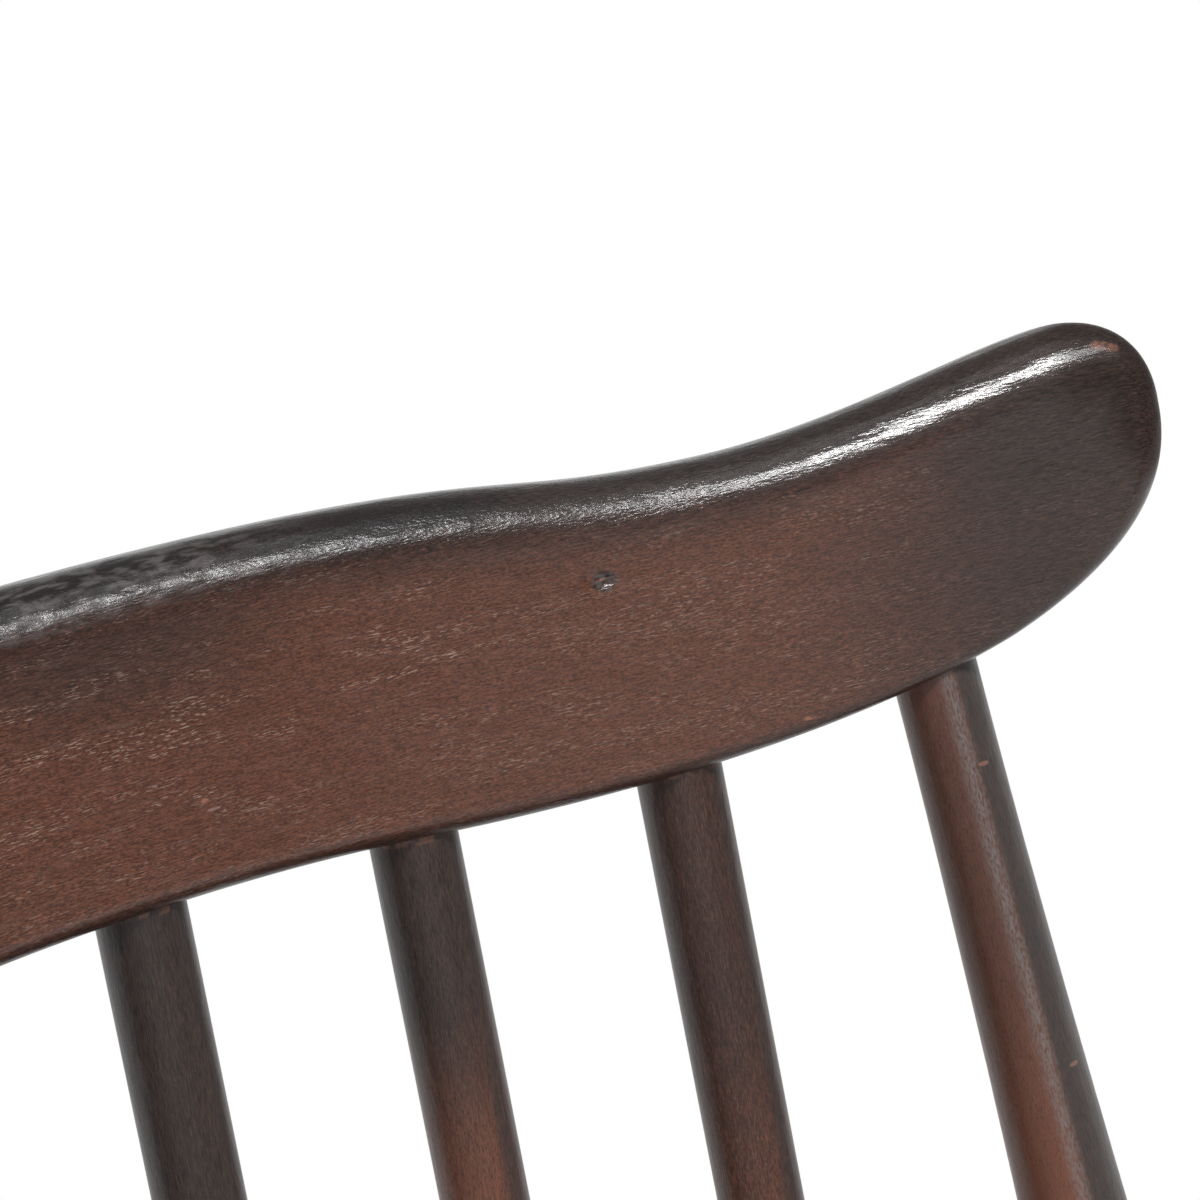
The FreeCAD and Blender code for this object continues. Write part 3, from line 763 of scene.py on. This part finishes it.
# Finish of the crest rail

def rail_places(nodes):
    """Places on the rail: along its grain, from its middle, up it, and from its upper and lower edge."""
    along = nodes.attribute("along")
    up = nodes.attribute("up")
    return SimpleNamespace(
        along=along,
        up=up,
        grain=nodes.vector(nodes.attribute("depth"), up, along),
        out=nodes.math("ABSOLUTE", along),
        from_top=nodes.attribute("from_top"),
        from_under=nodes.attribute("from_under"),
    )


def front_spot(nodes, rail, spot):
    """1 in a small ellipse on the rail's front."""
    along, up, half_length, half_height = spot
    return nodes.spot(rail.grain, (RAIL_FRONT, up, along), (SPOT_THROUGH, half_height, half_length))


def rail_toner(nodes, rail):
    """Toner along the top edge, over the crest and the ears, and painted shade along the lower edge and in
    the largest dent.
    """
    at_top = nodes.fade(rail.from_top, TOP_TONER_FADE)
    from_crest = nodes.reach(rail.grain, (0, CREST_HEIGHT, 0), CREST_TONER_REACH)
    at_crest = nodes.fade(from_crest, CREST_TONER_FADE, CREST_TONER)
    # Painted shade along the lower edge, whose rounding faces down
    at_under = nodes.fade(rail.from_under, UNDER_SHADE_FADE, UNDER_SHADE)
    ear_strength = nodes.ramp(rail.up, EAR_TONER_HEIGHTS, EAR_TONER)
    at_ear = nodes.times(nodes.rise(rail.out, EAR_TONER_RISE), ear_strength)
    # Painted shade in the largest dent
    at_dent = nodes.times(front_spot(nodes, rail, DENT_SHADE_AND_SHEEN), DENT_SHADE)
    return nodes.most(at_top, at_crest, at_under, at_ear, at_dent)


def rail_painted_sheen(nodes, rail, rubbed):
    """Painted reflections in the largest dent and mottling the middle of the top, and a painted glint in the
    scratch.
    """
    # A painted reflection in the largest dent
    in_dent = nodes.times(front_spot(nodes, rail, DENT_SHADE_AND_SHEEN), rubbed, DENT_SHEEN)
    in_middle = nodes.times(nodes.fade(rail.out, TOP_SHEEN_OUT_FADE), nodes.fade(rail.from_top, TOP_SHEEN_DOWN_FADE))
    # Painted reflections mottling the middle of the top
    hazy_sheen = nodes.rise(nodes.noise(rail.grain, SHEEN_MOTTLE), SHEEN_MOTTLE_RISE)
    # A painted glint along the scratch
    glinting_scratch = nodes.times(front_spot(nodes, rail, SCRATCH_GLINT_SPOT), SCRATCH_GLINT)
    return nodes.most(in_dent, nodes.times(hazy_sheen, in_middle, TOP_SHEEN), glinting_scratch)


def rail_raw_wood(nodes, rail, rubbed):
    """Bare wood in the scars of the front and on top of the right ear, in broken patches."""
    ear_spots = [nodes.spot(rail.grain, place, EAR_WEAR_REACH) for place in EAR_WEAR]
    on_ear = nodes.times(nodes.most(*ear_spots), EAR_WEAR_STRENGTH)
    scars = [front_spot(nodes, rail, scar) for scar in RAIL_SCARS]
    return nodes.times(nodes.most(on_ear, *scars), nodes.blend(rubbed, SCAR_STRENGTHS))


def rail_gloss(nodes, rail):
    """Weight and roughness of the lacquer, of which little is left on the tip of the right ear."""
    weight, roughness = RAIL_GLOSS
    worn = nodes.times(nodes.rise(rail.along, WORN_RISE), nodes.fade(rail.from_top, WORN_DOWN_FADE))
    return nodes.blend(worn, (weight, WORN_LACQUER)), roughness


def rail_finish():
    """Finish of the rail: dark toner over the top and the ears, brown in the middle of the face."""
    nodes = Nodes(bpy.data.materials.new("rail_finish"))
    rail = rail_places(nodes)
    rubbed = nodes.rise(nodes.noise(rail.grain, RUBBED), RUBBED_RISE)
    # Toner, with painted shade along the lower edge and in the largest dent
    toner = rail_toner(nodes, rail)
    raw = rail_raw_wood(nodes, rail, rubbed)
    # Pale glints painted in the pores, strongest around one place on the front
    glints = nodes.blend(nodes.spot(rail.grain, PORE_GLINT_CENTRE, PORE_GLINT_REACH), RAIL_PORE_GLINTS)
    gloss = rail_gloss(nodes, rail)
    # Painted reflections in grey on the top and in the dent, and a painted glint in the scratch
    painted_sheen = rail_painted_sheen(nodes, rail, rubbed)
    pebbles = nodes.ramp(rail.out, PEBBLE_PLACES, PEBBLES)
    peel = nodes.minus(pebbles, nodes.fade(rail.out, FLOWED_FADE, FLOWED))
    black = nodes.times(nodes.fade(rail.from_top, BLACK_DOWN_FADE), nodes.fade(rail.out, BLACK_OUT_FADE))
    return finished_wood(nodes, rail.grain, toner, raw, glints, gloss, painted_sheen, peel=peel, black=black)


# Stage

def background_ray(nodes):
    """1 for rays that show the background, by sight, in gloss or through glass."""
    path = nodes.add("LightPath", {}).outputs
    return nodes.most(path["Is Camera Ray"], path["Is Glossy Ray"], path["Is Transmission Ray"])


def floor_paper():
    """Pale paper that takes the chair's shadow and is plain white farther out."""
    nodes = Nodes(bpy.data.materials.new("floor_paper"))
    distance = nodes.length(nodes.object_place())
    shown = nodes.times(nodes.rise(distance, FLOOR_WHITE_RISE), background_ray(nodes))
    paper = nodes.add("BsdfDiffuse", {"Color": PAPER})
    white = nodes.add("Emission", {"Color": WHITE, "Strength": 1.0})
    both = nodes.add("MixShader", {0: shown, 1: paper.outputs[0], 2: white.outputs[0]})
    nodes.add("OutputMaterial", {0: both.outputs[0]})
    return nodes.owner


def make_floor():
    mesh = bpy.data.meshes.new("floor")
    bm = bmesh.new()
    bmesh.ops.create_circle(bm, cap_ends=True, segments=FLOOR_SEGMENTS, radius=FLOOR_RADIUS)
    bm.to_mesh(mesh)
    bm.free()
    mesh.materials.append(floor_paper())
    floor = bpy.data.objects.new("floor", mesh)
    bpy.context.scene.collection.objects.link(floor)


def make_world():
    """White backdrop to the eye and behind the chair, a dim room in front of it, plain light all round."""
    world = bpy.data.worlds.new("studio")
    bpy.context.scene.world = world
    nodes = Nodes(world)
    path = nodes.add("LightPath", {}).outputs
    place = nodes.add("TexCoord", {}).outputs["Generated"]
    behind = nodes.dot(place, BACKDROP_SIDE)
    room = nodes.ramp(behind, BACKDROP_RISE, (ROOM_GLOSS, BACKDROP_GLOSS), "SMOOTHSTEP")
    in_gloss = nodes.most(path["Is Glossy Ray"], path["Is Transmission Ray"])
    strength = nodes.most(path["Is Camera Ray"], nodes.times(in_gloss, room), AMBIENT)
    light = nodes.add("Background", {"Color": WHITE, "Strength": strength})
    nodes.add("OutputWorld", {0: light.outputs[0]})


def make_soft_box(name, target, offset, along, length, width, power):
    """Lamp at an offset from its target, facing it, with its length along the direction given."""
    lamp = bpy.data.lights.new(name, "AREA")
    lamp.shape = "RECTANGLE"
    lamp.size = length
    lamp.size_y = width
    lamp.energy = power
    light = bpy.data.objects.new(name, lamp)
    facing = Vector(offset).normalized()
    side = Vector(along)
    side = (side - facing * facing.dot(side)).normalized()
    turn = turned(side, facing.cross(side), facing)
    light.matrix_world = Matrix.Translation(target + Vector(offset)) @ turn
    light.visible_camera = False
    bpy.context.scene.collection.objects.link(light)


def make_camera(target):
    """Camera at the photograph's viewing angle, placed from the middle of the rail's underside."""
    heading = Vector((math.sin(CAMERA_HEADING), math.cos(CAMERA_HEADING), 0))
    ahead = heading * math.cos(CAMERA_PITCH) - Vector((0, 0, math.sin(CAMERA_PITCH)))
    level = Vector((heading.y, -heading.x, 0))
    upright = level.cross(ahead)
    right = level * math.cos(CAMERA_ROLL) + upright * math.sin(CAMERA_ROLL)
    above = right.cross(ahead)
    data = bpy.data.cameras.new("camera")
    data.sensor_width = CAMERA_SENSOR
    data.lens = CAMERA_LENS
    data.clip_start = CAMERA_CLIP_START
    camera = bpy.data.objects.new("camera", data)
    camera.matrix_world = Matrix.Translation(target + CAMERA_OFFSET) @ turned(right, above, -ahead)
    bpy.context.scene.collection.objects.link(camera)
    bpy.context.scene.camera = camera


# The chair

placement = rail_placement()
rail = make_rail(placement)
rail.data.materials.append(rail_finish())
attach(rail, "root")
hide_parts("crest_rail")
for seed, node in enumerate(sorted(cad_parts)):
    if node not in ("seat", "crest_rail"):
        stick_finish(node, seed, STICK_LOOKS.get(node, PLAIN_STICK))
seat_finish()

# Its surroundings

make_floor()
make_world()
for name, box in SOFT_BOXES.items():
    make_soft_box(name, placement.translation, *box)
make_camera(placement.translation)
bpy.context.scene.view_settings.view_transform = "Standard"
